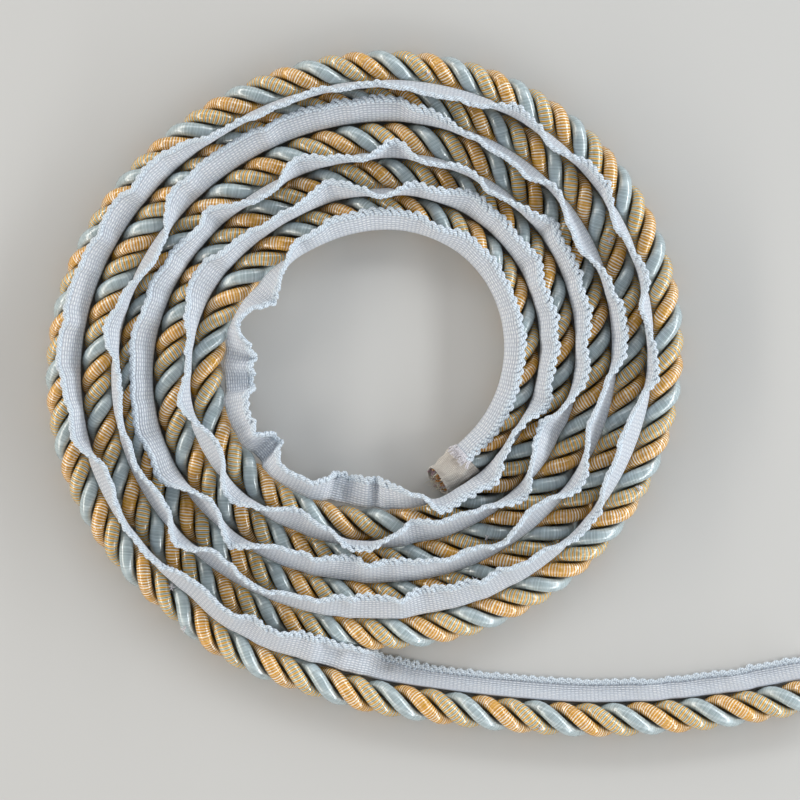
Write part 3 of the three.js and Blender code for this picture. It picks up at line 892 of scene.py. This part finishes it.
def woven_tape(name, weave, across, along, hollow_shade, thread, other, depth):
    """Woven cloth: thread tops in one colour or the other, with painted shade in the hollows
    between threads.
    """
    s = Shader(name, Roughness=0.75, Specular_IOR_Level=0.3, Sheen_Weight=0.15)
    cells = s.node("ShaderNodeGroup", {"Across": across, "Along": along}, node_tree=weave)
    where = s.node("ShaderNodeTexCoord").outputs["Object"]
    patch = s.node("ShaderNodeTexNoise", {"Vector": where, "Scale": 260.0, "Detail": 3.0})
    tops = s.mix(s.ramp(patch.outputs[0], 0.35, 0.65), thread, other)
    # Painted shade: the hollow colour where the weave is low, the thread colours on its tops.
    lit = s.ramp(cells.outputs["Height"], 0.3, 0.9)
    return s.finish(s.mix(lit, hollow_shade, tops), cells.outputs["Height"], depth)


def wound_thread(name, groove_shade, light):
    """Matt thread with the ridges of its own twist, and painted shade darkening the grooves
    between the ridges.
    """
    s = Shader(name, Roughness=0.7, Specular_IOR_Level=0.3, Sheen_Weight=0.2)
    around, along = s.surface()
    twist = s.math("ADD", s.math("MULTIPLY", along, 1.7), s.math("MULTIPLY", around, 2.0))
    ridge = s.math("SINE", s.math("MULTIPLY", s.math("FRACT", twist), math.pi))
    return s.finish(s.mix(s.ramp(ridge, 0.0, 0.8), groove_shade, light), ridge, 0.0001)


def make_materials():
    """Every finish of the trim by its short name."""
    wraps = wrapped_yarn_group()
    weave = weave_group()
    gold, deep = colour(229, 165, 22), colour(202, 124, 8)
    cream, white = colour(252, 246, 222), colour(240, 238, 214)
    grey_green = colour(154, 165, 148)
    made = {}
    made["gold"] = satin_ply("Gold_satin", wraps, 0.68,
                             [(0.0, gold), (0.21, deep), (0.4, gold), (0.69, cream)],
                             roughness=0.2, rib_depth=0.00006, spread=0.28, patchy=0.75)
    made["mixed"] = satin_ply("Banded_satin", wraps, 0.93,
                              [(0.0, gold), (0.4, white), (0.5, grey_green), (0.86, white)],
                              roughness=0.21, rib_depth=0.00006, spread=0.12)
    made["blue"] = satin_ply("Blue_satin", wraps, 0.74,
                             [(0.0, colour(174, 190, 194)), (0.5, colour(184, 200, 204))],
                             roughness=0.2, rib_depth=0.00002)
    # In each wound thread the first colour is painted shade in the twist's grooves, the second
    # the colour of its ridges.
    made["core"] = wound_thread("Core_cotton", colour(196, 186, 168), colour(232, 226, 212))
    # The tape's hollow colour is painted shade between its threads.
    made["lip"] = woven_tape("Woven_tape", weave, across=0.7, along=1.15, depth=0.0002,
                             hollow_shade=colour(186, 192, 203), thread=colour(228, 233, 239),
                             other=colour(236, 238, 241))
    made["loops"] = wound_thread("Loop_yarn", colour(160, 174, 190), colour(222, 231, 239))
    # The gauze's hollow colour is painted shade between its threads.
    made["gauze"] = woven_tape("Gauze", weave, across=0.3, along=0.62, depth=0.0001,
                               hollow_shade=colour(188, 180, 172), thread=colour(238, 234, 225),
                               other=colour(222, 214, 206))
    made["gold_end"] = wound_thread("Gold_thread", colour(128, 82, 40), colour(196, 136, 66))
    made["lilac_end"] = wound_thread("Lilac_thread", colour(112, 84, 92), colour(176, 150, 160))
    made["fluff"] = wound_thread("Pale_fibre", colour(200, 195, 201), colour(232, 229, 234))
    return made


# Floor and light

def floor_and_lights():
    """A plain pale floor and four long soft lights round it, the strongest on the right."""
    bpy.ops.mesh.primitive_plane_add(size=FLOOR_SIZE)
    floor = bpy.context.object
    floor.name = "Floor"
    s = Shader("Floor_paint", Roughness=0.9, Specular_IOR_Level=0.2)
    where = s.node("ShaderNodeTexCoord").outputs["Object"]
    speck = s.node("ShaderNodeTexNoise", {"Vector": where, "Scale": 3.0})
    floor.data.materials.append(
        s.finish(s.mix(speck.outputs[0], colour(193, 192, 190), colour(198, 197, 195))))
    for name, (away, height, width, length, power, tint, deg) in LIGHTS.items():
        data = bpy.data.lights.new(name, "AREA")
        data.shape = "RECTANGLE"
        data.size = width
        data.size_y = length
        data.energy = power
        data.color = tint
        light = bpy.data.objects.new(name, data)
        turn = math.radians(deg)
        light.location = (away * math.cos(turn), away * math.sin(turn), height)
        light.rotation_euler = (0, math.atan2(away, height), turn)
        bpy.context.collection.objects.link(light)
    world = bpy.data.worlds.new("Studio")
    world.use_nodes = True
    backdrop = world.node_tree.nodes["Background"]
    backdrop.inputs["Color"].default_value = SKY_TINT
    backdrop.inputs["Strength"].default_value = SKY_STRENGTH
    bpy.context.scene.world = world
    bpy.context.scene.view_settings.view_transform = "Standard"


def main():
    look_straight_down()
    route = Route()
    finish = make_materials()
    plies = [ply(route, i, finish[key], finish["core"])
             for i, key in enumerate(("blue", "gold", "mixed"))]
    rope = join("Twisted_rope", plies)
    place, _, _ = route.at(np.append(np.arange(ROPE_START, route.length, 2 * MM), route.length))
    yarns = cut_yarns(route, [finish["gold_end"], finish["lilac_end"], finish["core"]])
    strays = stray_threads(route, finish["fluff"])
    cuff = gauze_cuff(route, finish["gauze"])
    middle, normal = lip_surface(route)
    lip, lip_length = lip_sheet(middle, normal, finish["lip"])
    loops = looped_edge(middle, normal, finish["loops"])
    frayed = frayed_start(middle, normal, finish["fluff"])
    for piece, slot in ((rope, "rope"), (yarns, "rope"), (strays, "rope"), (cuff, "cuff"),
                        (lip, "lip"), (loops, "lip"), (frayed, "lip")):
        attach(piece, "root")
    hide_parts("cord")
    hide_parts("end_cuff")
    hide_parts("lip")
    floor_and_lights()


main()
